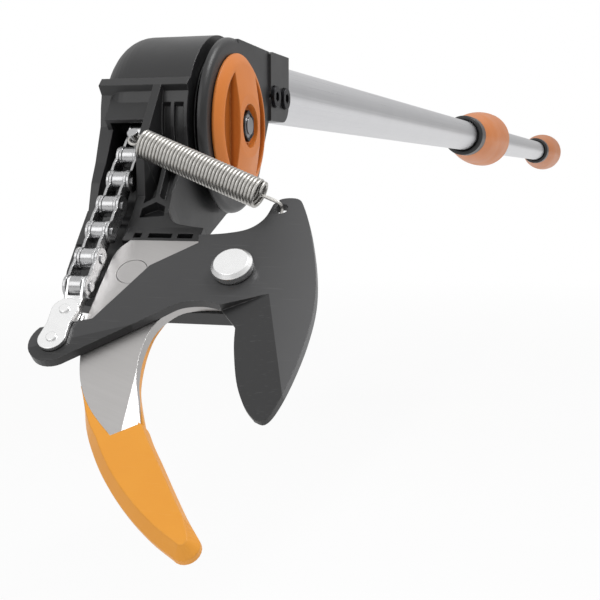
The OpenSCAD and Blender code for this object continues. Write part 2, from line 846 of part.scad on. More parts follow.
module hook_tip() {
    edge = 0.7;
    web_step = 0.3;
    shoulder = 4;
    shoulder_draw = 3;
    // A thin web backs the hook plate as far as the throat
    backing = down(concat(
        curve([[11, 160], [12.5, 144], [13.5, 128], [16, 114]]),
        curve([[20.4, 113.6], [18.6, 121], [18.8, 131], [20.8, 142], [24, 150], [29, 160]]),
        [[30, 168]]));
    color("darkorange")
        in_head()
            difference() {
                union() {
                    drawn_solid([tip_level(edge), tip_level(0), tip_level(0), tip_level(shoulder_draw)],
                        [tip_back, tip_back + edge, tip_front - shoulder, tip_front]);
                    plate(backing, tip_back + web_step, hook_back - fit);
                }
                // The pocket that the hook plate's end sits in
                plate(hook_outline, hook_back - fit, 40);
            }
}

// Pivot

nut_r = pivot_d * 0.95;
nut_sink = 1.5;
nut_h = 5.4;

module pivot_bolt() {
    head_h = 4.2;
    bevel = 1.3;
    head_r = pivot_head_d / 2;
    seat = blade_front + slide_gap;
    color("whitesmoke")
        in_head()
            translate([pivot_x, -pivot_h, 0]) {
                rod_z(pivot_d / 2, plate_back + nut_sink - nut_h - 0.8, seat);
                rotate_extrude()
                    polygon([[0, seat], [head_r - 0.4, seat], [head_r, seat + 1],
                        [head_r, seat + head_h - bevel], [head_r - bevel, seat + head_h],
                        [0, seat + head_h]]);
            }
}

module pivot_nut() {
    color("gray")
        in_head()
            translate([pivot_x, -pivot_h, plate_back + nut_sink - nut_h])
                difference() {
                    cylinder(r = nut_r, h = nut_h, $fn = 6);
                    rod_z(pivot_d / 2 + fit, -1, nut_h + 1);
                }
}

module spring_post() {
    color("silver")
        in_head()
            translate(post_at) {
                rod_z(post_r, -post_root, 2.5);
                rod_z(post_r + 0.6, 2.5, 3.9);
            }
}

// Blade

tail_r = 9;
tail_at = [chain_x, tail_h];

// From the ear, down the outer edge to the jaw's tip, up the cutting edge, and along the tail
blade_ear = [[pivot_x + 6.2, pivot_h - 33], [pivot_x + 9, pivot_h - 36], [pivot_x + 14.8, pivot_h - 36],
    [pivot_x + 18, pivot_h - 32], [pivot_x + 23.2, pivot_h - 20], [pivot_x + 29, pivot_h - 2],
    [pivot_x + 32.2, pivot_h + 14], [pivot_x + 32.6, pivot_h + 30], [pivot_x + 31, pivot_h + 46],
    [pivot_x + 28.6, pivot_h + 57], [pivot_x + 26, pivot_h + 61.4], [pivot_x + 22.6, pivot_h + 60.6]];
blade_edge = [[pivot_x + 22.6, pivot_h + 60.6], [pivot_x + 18, pivot_h + 55.6],
    [pivot_x + 12.8, pivot_h + 46], [pivot_x + 8.3, pivot_h + 32.5], [pivot_x + 6.4, pivot_h + 23.6]];
blade_throat = [[pivot_x - 1.2, pivot_h + 15.6], [pivot_x - 8, pivot_h + 14.4],
    [pivot_x - 15.5, pivot_h + 15.6], [pivot_x - 21, pivot_h + 19.6]];
blade_saddle = [[pivot_x - 18, pivot_h - 17], [pivot_x - 8, pivot_h - 18], [pivot_x, pivot_h - 20.4],
    [pivot_x + 4.6, pivot_h - 25.6], [pivot_x + 6.2, pivot_h - 33]];

blade_outline = down(concat(
    curve(blade_ear),
    curve(blade_edge),
    curve(blade_throat),
    arc(tail_at, tail_r, 48, 216, 16),
    [tail_at + [10.9, -10.4], [pivot_x - 32, pivot_h - 1.5], [pivot_x - 17, pivot_h - 13]],
    curve(blade_saddle)));

module blade() {
    grind = 9.5;
    color("darkslategray")
        in_head()
            difference() {
                plate(blade_outline, blade_back, blade_front);
                translate([pivot_x, -pivot_h, 0])
                    rod_z(pivot_d / 2 + fit, 0, 40);
                translate([tail_at.x, -tail_at.y, 0])
                    rod_z(pin_d / 2 + fit, 0, 40);
                // The spring's hook wanders in its hole as the blade swings, so the hole is set to one side
                translate([ear_hole.x, ear_hole.y, 0] + ear_ease)
                    rod_z(ear_d / 2, 0, 40);
                // The ground face falls from a line along the jaw to the cutting edge
                translate([pivot_x + 15.3, -pivot_h - 10.2, blade_front])
                    rotate([0, 0, 19.5])
                        rotate([0, -grind, 0])
                            translate([-24, -90, 0])
                                cube([24, 90, 20]);
            }
}

// The last link is two plates that straddle the blade's tail

tail_plate_t = 1.4;
tail_link_r = 5;
tail_front = blade_front + slide_gap;
tail_back = blade_back - slide_gap - tail_plate_t;

module tail_plates() {
    outline = down(concat(
        arc([chain_x, top_pin_h], tail_link_r, 180, 360, 16),
        [[chain_x + tail_link_r - 0.7, top_pin_h + pitch / 2]],
        arc(tail_at, tail_link_r, 0, 180, 16),
        [[chain_x - tail_link_r + 0.7, top_pin_h + pitch / 2]]));
    color("whitesmoke")
        in_head()
            difference() {
                for (z = [tail_front, tail_back])
                    plate(outline, z, z + tail_plate_t);
                for (h = [top_pin_h, tail_h])
                    translate([chain_x, -h, 0])
                        rod_z(pin_d / 2 + fit, 0, 40);
            }
}

module tail_pins() {
    stub = tail_plate_t + 0.6;
    color("silver")
        in_head() {
            translate([chain_x, -tail_h, 0])
                rod_z(pin_d / 2, tail_back - 0.6, tail_front + tail_plate_t + 0.7);
            translate([chain_x, -top_pin_h, 0]) {
                rod_z(pin_d / 2, tail_back - 0.6, tail_back - 0.6 + stub);
                rod_z(pin_d / 2, tail_front, tail_front + stub + 0.1);
            }
        }
}

// Chain

module chain_rollers() {
    color("whitesmoke")
        in_head()
            for (h = roller_hs)
                translate([chain_x, -h, chain_z(h)])
                    difference() {
                        rod_x(roller_d / 2, -roller_w / 2, roller_w / 2);
                        rod_x(pin_d / 2 + fit, -roller_w, roller_w);
                    }
}

module chain_pins() {
    color("silver")
        in_head()
            for (h = roller_hs)
                translate([chain_x, -h, chain_z(h)])
                    rod_x(pin_d / 2, -chain_half + 0.1, chain_half - 0.1);
}

// A pair of link plates from one pin to the next, at the given distance from the chain's middle
module link_pair(x_in, length) {
    waist = link_h / 2 - 0.9;
    r = link_h / 2;
    outline = concat(
        arc([0, 0], r, -45, -315, 16),
        [[length / 2, waist]],
        arc([length, 0], r, 135, -135, 16),
        [[length / 2, -waist]]);
    for (x0 = [x_in, -x_in - link_t])
        difference() {
            side_plate(outline, x0, x0 + link_t);
            for (y = [0, length])
                translate([0, y, 0])
                    rod_x(pin_d / 2 + fit, -2 * chain_half, 2 * chain_half);
        }
}

module run_links(first, x_in) {
    length = pitch / cos(chain_lean);
    for (i = [first : 2 : roller_count - 2])
        translate([chain_x, -roller_hs[i], chain_z(roller_hs[i])])
            rotate([chain_lean, 0, 0])
                link_pair(x_in, length);
}

module inner_links() {
    color("whitesmoke")
        in_head()
            run_links(1, inner_x);
}

module outer_links() {
    color("silver")
        in_head()
            run_links(0, outer_x);
}

// The twist link turns the chain a quarter turn, from its own pins to the tail plates
module twist_link() {
    tongue_t = blade_t - 0.6;
    z_end = chain_z(last_roller_h);
    color("whitesmoke")
        in_head()
            difference() {
                union() {
                    for (x0 = [inner_x, -inner_x - link_t])
                        translate([chain_x, 0, 0])
                            side_plate(concat(arc([-last_roller_h, z_end], link_h / 2 - 0.4, 90, -90, 10),
                                [[-last_roller_h - 6, blade_mid - tongue_t / 2],
                                [-last_roller_h - 6, blade_mid + tongue_t / 2]]), x0, x0 + link_t);
                    plate(down(concat(
                        [[chain_x - inner_x - link_t, last_roller_h + roller_d / 2 + 0.6],
                        [chain_x + inner_x + link_t, last_roller_h + roller_d / 2 + 0.6]],
                        arc([chain_x, top_pin_h], tail_link_r - 1, 0, 180, 12))),
                        blade_mid - tongue_t / 2, blade_mid + tongue_t / 2);
                }
                translate([chain_x, -last_roller_h, z_end])
                    rod_x(pin_d / 2 + fit, -chain_half, chain_half);
            }
}

// Chain wheel, pulley and what is wound on them

module chain_wheel() {
    root_r = wheel_r - roller_d / 2 - 0.15;
    tip_r = wheel_r + 1.2;
    color("slategray")
        in_head()
            translate([chain_x, 0, 0])
                difference() {
                    rod_x(tip_r, -wheel_w / 2, wheel_w / 2);
                    rod_x(sleeve_r + fit, -wheel_w, wheel_w);
                    for (i = [0 : wheel_teeth - 1])
                        rotate([i * 360 / wheel_teeth, 0, 0])
                            translate([0, 0, wheel_r])
                                rod_x(wheel_r - root_r, -wheel_w, wheel_w);
                }
}

module wheel_sleeve() {
    color("gray")
        in_head()
            difference() {
                rod_x(sleeve_r, barrel_left + barrel_wall + slide_gap, pulley_x + pulley_t / 2);
                rod_x(axle_d / 2 + fit, barrel_left, pulley_x + pulley_t);
            }
}

module wheel_links() {
    seats = [0, 1, 2];
    step = 360 / wheel_teeth;
    color("whitesmoke")
        in_head()
            translate([chain_x, 0, 0]) {
                for (i = seats)
                    rotate([-i * step, 0, 0])
                        translate([0, 0, wheel_r])
                            rod_x(roller_d / 2 - 0.1, -roller_w / 2, roller_w / 2);
                for (i = [0, 1])
                    rotate([-i * step, 0, 0])
                        translate([0, 0, wheel_r])
                            rotate([-step / 2, 0, 0])
                                wheel_plates(i == 0 ? inner_x : outer_x);
            }
}

// The two plates of a link on the wheel, joined to its rollers by their pins
module wheel_plates(x_in) {
    r = link_h / 2;
    for (x0 = [x_in, -x_in - link_t])
        side_plate(concat(arc([0, 0], r, -90, -270, 12), arc([pitch, 0], r, 90, -90, 12)), x0, x0 + link_t);
    for (y = [0, pitch])
        translate([0, y, 0])
            rod_x(pin_d / 2, -x_in - link_t, x_in + link_t);
}

module cord_pulley() {
    color("black")
        in_head()
            difference() {
                translate([pulley_x, 0, 0])
                    turned_x(concat([[-pulley_t / 2, 0], [-pulley_t / 2, rim_r]],
                        [[-cord_d / 2 - 0.2, rim_r]],
                        arc([0, winding_r], cord_d / 2 + 0.1, 180, 360, 10),
                        [[cord_d / 2 + 0.2, rim_r], [pulley_t / 2, rim_r], [pulley_t / 2, 0]]));
                rod_x(sleeve_r + fit, pulley_x - 10, pulley_x + 10);
            }
}

module cord_winding() {
    turn = 210;
    color("silver")
        in_head()
            translate([pulley_x, 0, 0])
                rotate([-tilt, 0, 0])
                    rotate([90, 0, 90])
                        rotate([0, 0, 92])
                            rotate_extrude(angle = turn)
                                translate([winding_r, 0])
                                    circle(d = cord_d, $fn = 24);
}

// Return spring

// A tube swept along points, with its rings turned to a reference direction at each point
function tangent(p, i) =
    let (a = p[max(i - 1, 0)], b = p[min(i + 1, len(p) - 1)]) (b - a) / norm(b - a);
function square_to(t, ref) = let (u = ref - (ref * t) * t) u / norm(u);

module swept_tube(p, refs, r, sides) {
    n = len(p);
    last = (n - 1) * sides;
    points = [for (i = [0 : n - 1])
        let (t = tangent(p, i), u = square_to(t, refs[i]), v = cross(t, u))
            for (k = [0 : sides - 1]) p[i] + r * (u * cos(360 * k / sides) + v * sin(360 * k / sides))];
    walls = [for (i = [0 : n - 2], k = [0 : sides - 1])
        let (a = i * sides + k, b = i * sides + (k + 1) % sides)
            each [[a, a + sides, b + sides], [a, b + sides, b]]];
    caps = [for (k = [1 : sides - 2]) each [[0, k, k + 1], [last, last + k + 1, last + k]]];
    polyhedron(points, concat(walls, caps));
}

// Axes of the spring: along it, and two square to it
spring_u = square_to(spring_dir, [0, 0, 1]);
spring_v = cross(spring_dir, spring_u);
curl_rings = 8;
turn_in = 4;
straight = 1.5 * wire_d;
spring_start = post_r + slide_gap;
spring_end = coil_end + coil_start - spring_start;
function on_spring(s, r, a) = post_at + spring_dir * s + r * (spring_u * cos(a) + spring_v * sin(a));

// The wire leaves the post along the axis, winds out to the coil, and winds in again at the hook
wind_out = [for (i = [1 : turn_in - 1])
    on_spring(spring_start + straight + (coil_start - spring_start - straight) * i / turn_in,
        coil_r * i / turn_in, 180 * i / turn_in - 180)];
coil_points = [for (i = [0 : curls * curl_rings])
    on_spring(coil_start + (coil_end - coil_start) * i / (curls * curl_rings), coil_r, 360 * i / curl_rings)];
wind_in = [for (i = [1 : turn_in - 1])
    on_spring(coil_end + (spring_end - straight - coil_end) * i / turn_in,
        coil_r * (1 - i / turn_in), 180 * i / turn_in)];
spring_points = concat([on_spring(spring_start, 0, 0), on_spring(spring_start + straight, 0, 0)], wind_out,
    coil_points, wind_in, [on_spring(spring_end - straight, 0, 0), on_spring(spring_end, 0, 0)]);
spring_refs = concat([post_at - wind_out[0] + spring_dir * (spring_dir * (wind_out[0] - post_at))],
    [for (i = [2 : len(spring_points) - 1]) spring_dir],
    [wind_in[turn_in - 2] - post_at - spring_dir * (spring_dir * (wind_in[turn_in - 2] - post_at))]);

// Least gap of the wire to itself, measured on its points more than half a curl apart
wire_gaps = [for (i = [0 : len(spring_points) - 1 - curl_rings],
    j = [i + curl_rings - 3 : min(i + curl_rings + 3, len(spring_points) - 1)])
    norm(spring_points[j] - spring_points[i]) - wire_d];
echo(spring_least_gap = min(wire_gaps));

module return_spring() {
    color("silver")
        in_head()
            swept_tube(spring_points, spring_refs, wire_d / 2, 6);
}

// The wire hook runs on along the spring's axis and turns down through the blade's ear
module spring_hook() {
    reach = norm(ear_hole - post_at) - spring_end;
    color("silver")
        in_head()
            translate(ear_hole) {
                rotate([0, acos(spring_dir.z), atan2(spring_dir.y, spring_dir.x)])
                    rod_z(wire_d / 2, -reach, 0);
                sphere(r = wire_d / 2 + 0.1);
                rod_z(wire_d / 2, blade_back - 1.2 - ear_hole.z, 0);
            }
}

pole_tube();
pole_bracket();
socket_screws();
tilt_axle();
axle_nut();
end_plug();
end_collar();
end_ball();
end_screw();
lock_knob();
knob_nut();
head_frame();
head_cover();
cover_screws();
hook_plate();
hook_tip();
hook_screws();
pivot_bolt();
pivot_nut();
spring_post();
chain_guide();
blade();
tail_plates();
tail_pins();
cord_pulley();
chain_wheel();
wheel_sleeve();
wheel_links();
cord_winding();
chain_rollers();
chain_pins();
inner_links();
outer_links();
twist_link();
return_spring();
spring_hook();
grip_ball();
grip_collar();
grip_key();
cord_shoe();
pull_cord();
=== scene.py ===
# Tree pruner pole: finishes, return spring and pull cord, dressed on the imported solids.
import json
import math

import bpy
import numpy as np
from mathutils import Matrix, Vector


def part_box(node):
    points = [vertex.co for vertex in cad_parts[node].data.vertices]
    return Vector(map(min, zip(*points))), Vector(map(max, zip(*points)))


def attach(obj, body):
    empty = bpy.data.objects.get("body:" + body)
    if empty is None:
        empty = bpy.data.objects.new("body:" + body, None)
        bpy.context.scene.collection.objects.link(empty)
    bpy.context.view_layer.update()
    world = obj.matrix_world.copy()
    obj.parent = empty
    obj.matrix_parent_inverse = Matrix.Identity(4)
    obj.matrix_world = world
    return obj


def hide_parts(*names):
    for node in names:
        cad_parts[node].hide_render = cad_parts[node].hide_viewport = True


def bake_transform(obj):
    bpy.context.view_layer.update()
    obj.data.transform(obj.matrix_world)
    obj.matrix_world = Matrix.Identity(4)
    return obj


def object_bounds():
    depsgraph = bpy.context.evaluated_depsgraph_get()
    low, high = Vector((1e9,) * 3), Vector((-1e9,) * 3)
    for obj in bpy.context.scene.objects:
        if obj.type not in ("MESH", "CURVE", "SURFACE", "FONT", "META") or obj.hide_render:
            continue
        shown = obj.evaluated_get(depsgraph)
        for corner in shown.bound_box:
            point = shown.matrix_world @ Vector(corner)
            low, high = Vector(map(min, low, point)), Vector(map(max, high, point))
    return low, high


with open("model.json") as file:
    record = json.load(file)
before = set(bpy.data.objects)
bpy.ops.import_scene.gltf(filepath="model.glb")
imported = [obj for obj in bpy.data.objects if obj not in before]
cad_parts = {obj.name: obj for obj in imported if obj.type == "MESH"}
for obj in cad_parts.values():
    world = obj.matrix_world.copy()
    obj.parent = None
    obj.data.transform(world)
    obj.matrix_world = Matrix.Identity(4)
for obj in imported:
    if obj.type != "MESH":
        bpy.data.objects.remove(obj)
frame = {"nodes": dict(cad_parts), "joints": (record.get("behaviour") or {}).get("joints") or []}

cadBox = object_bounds()
joints = {joint["name"]: joint for joint in frame["joints"]}
mm = 0.001
print("frame loaded:", len(frame["nodes"]), "nodes")


# Camera, as the photograph was taken

photoCamera = {
    "lens": 69.0,                              # millimetres, on the sensor below
    "sensor": 36.0,
    "place": (0.18214, -0.85231, -0.03985),    # metres, in the part's frame
    "azimuth": 17.23,                          # degrees, turned from looking along +Y
    "lookDown": 6.12,
}


def setCamera(settings):
    data = bpy.data.cameras.new("photoCamera")
    data.lens = settings["lens"]
    data.sensor_width = settings["sensor"]
    data.clip_start = 0.01
    data.clip_end = 50
    camera = bpy.data.objects.new("photoCamera", data)
    bpy.context.scene.collection.objects.link(camera)
    turn = math.radians(settings["azimuth"])
    dip = math.radians(settings["lookDown"])
    ahead = Vector((-math.sin(turn) * math.cos(dip), math.cos(turn) * math.cos(dip), -math.sin(dip)))
    camera.location = settings["place"]
    camera.rotation_euler = ahead.to_track_quat("-Z", "Y").to_euler()
    bpy.context.scene.camera = camera


setCamera(photoCamera)
print("camera set")


# Node helpers

def paint(red, green, blue):
    # sRGB values out of 255, made linear
    value = np.array([red, green, blue]) / 255
    linear = np.where(value <= 0.04045, value / 12.92, ((value + 0.055) / 1.055) ** 2.4)
    return (*linear.tolist(), 1.0)


def put(tree, kind, inputs=None, **settings):
    # one node, with its settings, and its inputs given as values or as sockets to link
    node = tree.nodes.new(kind)
    for name, value in settings.items():
        setattr(node, name, value)
    for key, value in (inputs or {}).items():
        if isinstance(value, bpy.types.NodeSocket):
            tree.links.new(value, node.inputs[key])
        else:
            node.inputs[key].default_value = value
    return node


def calc(tree, operation, first, second=0.0, clamp=False):
    node = put(tree, "ShaderNodeMath", {0: first, 1: second}, operation=operation, use_clamp=clamp)
    return node.outputs[0]


def remap(tree, value, fromLow, fromHigh, toLow, toHigh):
    node = put(tree, "ShaderNodeMapRange", {0: value, 1: fromLow, 2: fromHigh, 3: toLow, 4: toHigh})
    return node.outputs[0]


def mixColours(tree, share, first, second):
    node = put(tree, "ShaderNodeMix", {0: share, 6: first, 7: second}, data_type="RGBA")
    return node.outputs[2]


def noise(tree, vector, scale, detail=3.0, rough=0.55):
    node = put(tree, "ShaderNodeTexNoise",
               {"Vector": vector, "Scale": scale, "Detail": detail, "Roughness": rough})
    return node.outputs[0]


def newGroup(name, inputs, outputs):
    # an empty shader group with the named sockets, each given as (name, kind, value)
    group = bpy.data.node_groups.new(name, "ShaderNodeTree")
    for socketName, kind, value in inputs:
        socket = group.interface.new_socket(socketName, in_out="INPUT", socket_type=kind)
        if value is not None:
            socket.default_value = value
    for socketName, kind in outputs:
        group.interface.new_socket(socketName, in_out="OUTPUT", socket_type=kind)
    return group, group.nodes.new("NodeGroupInput"), group.nodes.new("NodeGroupOutput")


floatKind = "NodeSocketFloat"
vectorKind = "NodeSocketVector"


# Shared effects

def makeMouldGrain():
    # pebbled mould texture: fine noise over cell noise, and slow patches of tone
    group, given, outlet = newGroup(
        "mouldGrain",
        [("Vector", vectorKind, None), ("Grain Scale", floatKind, 2200.0), ("Patch Scale", floatKind, 28.0)],
        [("Height", floatKind), ("Patches", floatKind)])
    cells = put(group, "ShaderNodeTexVoronoi", {"Vector": given.outputs[0], "Scale": given.outputs[1]})
    fine = noise(group, given.outputs[0], given.outputs[1], 2.0)
    height = calc(group, "ADD", calc(group, "MULTIPLY", cells.outputs["Distance"], 0.6), fine)
    patches = noise(group, given.outputs[0], given.outputs[2], 4.0, 0.6)
    group.links.new(height, outlet.inputs[0])
    group.links.new(remap(group, patches, 0.3, 0.7, 0.0, 1.0), outlet.inputs[1])
    return group


def makeEdgeRub():
    # share of rubbing on corners: how far a rounded normal leans from the true one, broken up by noise
    group, given, outlet = newGroup(
        "edgeRub",
        [("Vector", vectorKind, None), ("Width", floatKind, 0.0006), ("Break Up", floatKind, 260.0)],
        [("Mask", floatKind)])
    rounded = put(group, "ShaderNodeBevel", {"Radius": given.outputs[1]}, samples=6)
    flat = put(group, "ShaderNodeNewGeometry")
    lean = put(group, "ShaderNodeVectorMath", {0: rounded.outputs[0], 1: flat.outputs["Normal"]},
               operation="DOT_PRODUCT")
    corner = remap(group, lean.outputs["Value"], 0.995, 0.80, 0.0, 1.0)
    patchy = remap(group, noise(group, given.outputs[0], given.outputs[2], 5.0, 0.65), 0.42, 0.68, 0.0, 1.0)
    group.links.new(calc(group, "MULTIPLY", corner, patchy, True), outlet.inputs[0])
    return group


def makeHandling():
    # fine scratches from stretched noise at three slants, and soft smudges
    group, given, outlet = newGroup(
        "handling",
        [("Vector", vectorKind, None), ("Scratch Scale", floatKind, 90.0), ("Smudge Scale", floatKind, 22.0)],
        [("Scratches", floatKind), ("Smudges", floatKind)])
    marks = []
    for slant, stretch in ((0.5, 26.0), (-0.9, 34.0), (1.9, 30.0)):
        turned = put(group, "ShaderNodeMapping",
                     {"Vector": given.outputs[0], "Rotation": (slant, slant * 0.6, slant),
                      "Scale": (1.0, stretch, stretch)})
        streaks = noise(group, turned.outputs[0], given.outputs[1], 1.0)
        marks.append(remap(group, streaks, 0.70, 0.76, 0.0, 1.0))
    scratches = calc(group, "ADD", calc(group, "ADD", marks[0], marks[1]), marks[2], True)
    smudges = remap(group, noise(group, given.outputs[0], given.outputs[2], 5.0, 0.62), 0.38, 0.66, 0.0, 1.0)
    group.links.new(scratches, outlet.inputs[0])
    group.links.new(smudges, outlet.inputs[1])
    return group


def makeDrawnLines():
    # lines of drawing or grinding: noise squeezed hard across one axis, at two widths
    group, given, outlet = newGroup(
        "drawnLines",
        [("Vector", vectorKind, None), ("Turn", vectorKind, (0.0, 0.0, 0.0)),
         ("Scale", vectorKind, (900.0, 6.0, 900.0))],
        [("Lines", floatKind), ("Bands", floatKind)])
    turned = put(group, "ShaderNodeMapping", {"Vector": given.outputs[0], "Rotation": given.outputs[1]})
    squeezed = put(group, "ShaderNodeVectorMath", {0: turned.outputs[0], 1: given.outputs[2]},
                   operation="MULTIPLY")
    lines = noise(group, squeezed.outputs[0], 1.0, 3.0, 0.7)
    bands = noise(group, squeezed.outputs[0], 0.12, 2.0, 0.5)
    group.links.new(lines, outlet.inputs[0])
    group.links.new(bands, outlet.inputs[1])
    return group


mouldGrain = makeMouldGrain()
edgeRub = makeEdgeRub()
handling = makeHandling()
drawnLines = makeDrawnLines()
print("shared effects made")


# Finishes

def startFinish(name, metallic, cornerRadius):
    # an empty material with its shader, its Object coordinates and the rounded-corner normal
    material = bpy.data.materials.new(name)
    material.use_nodes = True
    tree = material.node_tree
    tree.nodes.clear()
    shader = put(tree, "ShaderNodeBsdfPrincipled")
    shader.inputs["Metallic"].default_value = metallic
    end = put(tree, "ShaderNodeOutputMaterial")
    tree.links.new(shader.outputs[0], end.inputs[0])
    place = put(tree, "ShaderNodeTexCoord").outputs["Object"]
    corner = put(tree, "ShaderNodeBevel", {"Radius": cornerRadius}, samples=6).outputs[0]
    return material, tree, shader, place, corner


def useGroup(tree, group, inputs):
    return put(tree, "ShaderNodeGroup", inputs, node_tree=group)


def finishNormal(tree, shader, corner, height, strength, depth):
    bump = put(tree, "ShaderNodeBump",
               {"Strength": strength, "Distance": depth, "Height": height, "Normal": corner})
    tree.links.new(bump.outputs[0], shader.inputs["Normal"])


def wearMasks(tree, place, settings):
    # rubbing on the corners, scratches and smudges, at the finish's own sizes
    rub = useGroup(tree, edgeRub, {0: place, 1: settings["rubWidth"], 2: settings["rubBreak"]})
    hands = useGroup(tree, handling, {0: place, 1: settings["scratchScale"], 2: settings["smudgeScale"]})
    return rub.outputs[0], hands.outputs["Scratches"], hands.outputs["Smudges"]


def smudgedShine(tree, shader, smudges, settings):
    # a moulding's or coating's shine, duller where it is smudged
    low, high = settings["roughness"]
    tree.links.new(remap(tree, smudges, 0.0, 1.0, low, high), shader.inputs["Roughness"])
    shader.inputs["Specular IOR Level"].default_value = settings["shine"]


nylon = {
    "base": paint(33, 33, 34),
    "patch": paint(28, 28, 29),
    "rubbed": paint(84, 84, 84),
    "grainScale": 2600.0,
    "patchScale": 30.0,
    "grainBump": 0.35,
    "grainDepth": 0.05 * mm,
    "rubWidth": 0.7 * mm,
    "rubBreak": 300.0,
    "rubShare": 0.55,
    "scratchScale": 70.0,
    "smudgeScale": 24.0,
    "roughness": (0.32, 0.44),
    "shine": 0.5,
    "corner": 0.5 * mm,
}


def makeNylon(name, settings):
    # satin moulded nylon with a pebbled grain, rubbed paler on its corners
    material, tree, shader, place, corner = startFinish(name, 0.0, settings["corner"])
    grain = useGroup(tree, mouldGrain, {0: place, 1: settings["grainScale"], 2: settings["patchScale"]})
    rubbing, _, smudges = wearMasks(tree, place, settings)
    colour = mixColours(tree, grain.outputs["Patches"], settings["base"], settings["patch"])
    rubbed = calc(tree, "MULTIPLY", rubbing, settings["rubShare"])
    colour = mixColours(tree, rubbed, colour, settings["rubbed"])
    tree.links.new(colour, shader.inputs["Base Color"])
    smudgedShine(tree, shader, smudges, settings)
    finishNormal(tree, shader, corner, grain.outputs["Height"], settings["grainBump"], settings["grainDepth"])
    return material


tiltAxis = (0.0, joints["head_tilt"]["pos_m"][1], joints["head_tilt"]["pos_m"][2])

gripOrange = {
    "base": paint(214, 126, 52),
    "patch": paint(206, 117, 46),
    "rubbed": paint(230, 160, 96),
    # painted shade: the finger pockets are coloured darker
    "pocket": paint(160, 86, 26),
    "pocketDepth": (16.6 * mm, 18.0 * mm),      # along the tilt axis, from the pockets' floor to the rim
    "pocketReach": 24.2 * mm,                   # out from the tilt axis
    "grainScale": 1500.0,
    "patchScale": 22.0,
    "grainBump": 0.18,
    "grainDepth": 0.05 * mm,
    "rubWidth": 0.8 * mm,
    "rubBreak": 240.0,
    "rubShare": 0.45,
    "scratchScale": 60.0,
    "scratchShare": 0.10,
    "smudgeScale": 26.0,
    "roughness": (0.34, 0.46),
    "shine": 0.35,
    "corner": 0.7 * mm,
}
tipOrange = dict(gripOrange, base=paint(231, 158, 56), patch=paint(226, 150, 50), rubbed=paint(238, 182, 104))


def pocketShadeShare(tree, place, settings):
    # share of painted shade in the knob's finger pockets: below the rim along the tilt axis, and inside the
    # rim round it
    fromAxis = put(tree, "ShaderNodeVectorMath", {0: place, 1: tiltAxis}, operation="SUBTRACT").outputs[0]
    across = put(tree, "ShaderNodeVectorMath", {0: fromAxis, 1: (0.0, 1.0, 1.0)},
                 operation="MULTIPLY").outputs[0]
    reach = put(tree, "ShaderNodeVectorMath", {0: across}, operation="LENGTH").outputs["Value"]
    out = put(tree, "ShaderNodeSeparateXYZ", {0: place}).outputs["X"]
    deep = remap(tree, out, *settings["pocketDepth"], 1.0, 0.0)
    return calc(tree, "MULTIPLY", deep, calc(tree, "LESS_THAN", reach, settings["pocketReach"]))


def wornColour(tree, colour, rubbing, scratches, settings):
    worn = calc(tree, "MAXIMUM", calc(tree, "MULTIPLY", rubbing, settings["rubShare"]),
                calc(tree, "MULTIPLY", scratches, settings["scratchShare"]))
    return mixColours(tree, worn, colour, settings["rubbed"])


def makeOrange(name, settings):
    # smooth orange moulding: slow mottling, faint scratches, a fine bump, and painted shade in the finger
    # pockets
    material, tree, shader, place, corner = startFinish(name, 0.0, settings["corner"])
    grain = useGroup(tree, mouldGrain, {0: place, 1: settings["grainScale"], 2: settings["patchScale"]})
    rubbing, scratches, smudges = wearMasks(tree, place, settings)
    colour = mixColours(tree, grain.outputs["Patches"], settings["base"], settings["patch"])
    # painted shade in the finger pockets
    colour = mixColours(tree, pocketShadeShare(tree, place, settings), colour, settings["pocket"])
    colour = wornColour(tree, colour, rubbing, scratches, settings)
    tree.links.new(colour, shader.inputs["Base Color"])
    smudgedShine(tree, shader, smudges, settings)
    finishNormal(tree, shader, corner, grain.outputs["Height"], settings["grainBump"], settings["grainDepth"])
    return material


metalWear = {
    "rubWidth": 0.5 * mm,
    "rubBreak": 420.0,
    "rubShare": 0.6,
    "scratchScale": 80.0,
    "scratchRough": 0.08,       # what a scratch adds to the roughness
    "smudgeScale": 34.0,
    "lineDepth": 0.04 * mm,
}


def makeMetal(name, settings):
    # steel or aluminium: lines along one direction, bright rubbed corners, scratches and smudges
    material, tree, shader, place, corner = startFinish(name, 1.0, settings["corner"])
    lines = useGroup(tree, drawnLines, {0: place, 1: settings["turn"], 2: settings["lineScale"]})
    rubbing, scratches, smudges = wearMasks(tree, place, metalWear)
    share = remap(tree, lines.outputs["Lines"], 0.35, 0.65, 0.0, 1.0)
    colour = mixColours(tree, share, settings["dark"], settings["base"])
    colour = mixColours(tree, calc(tree, "MULTIPLY", smudges, settings["smudge"]), colour, settings["dull"])
    rubbed = calc(tree, "MULTIPLY", rubbing, metalWear["rubShare"])
    colour = mixColours(tree, rubbed, colour, settings["bright"])
    tree.links.new(colour, shader.inputs["Base Color"])
    low, high = settings["roughness"]
    rough = remap(tree, lines.outputs["Lines"], 0.3, 0.7, low, high)
    rough = calc(tree, "ADD", rough, calc(tree, "MULTIPLY", scratches, metalWear["scratchRough"]))
    tree.links.new(rough, shader.inputs["Roughness"])
    finishNormal(tree, shader, corner, lines.outputs["Lines"], settings["lineBump"], metalWear["lineDepth"])
    return material


# Turns a pattern into the head's own directions, from the axis that goes into the blade's face
bladeAxis = joints["blade_swing"]["axis"]
headTilt = -math.atan2(bladeAxis[1], -bladeAxis[2])

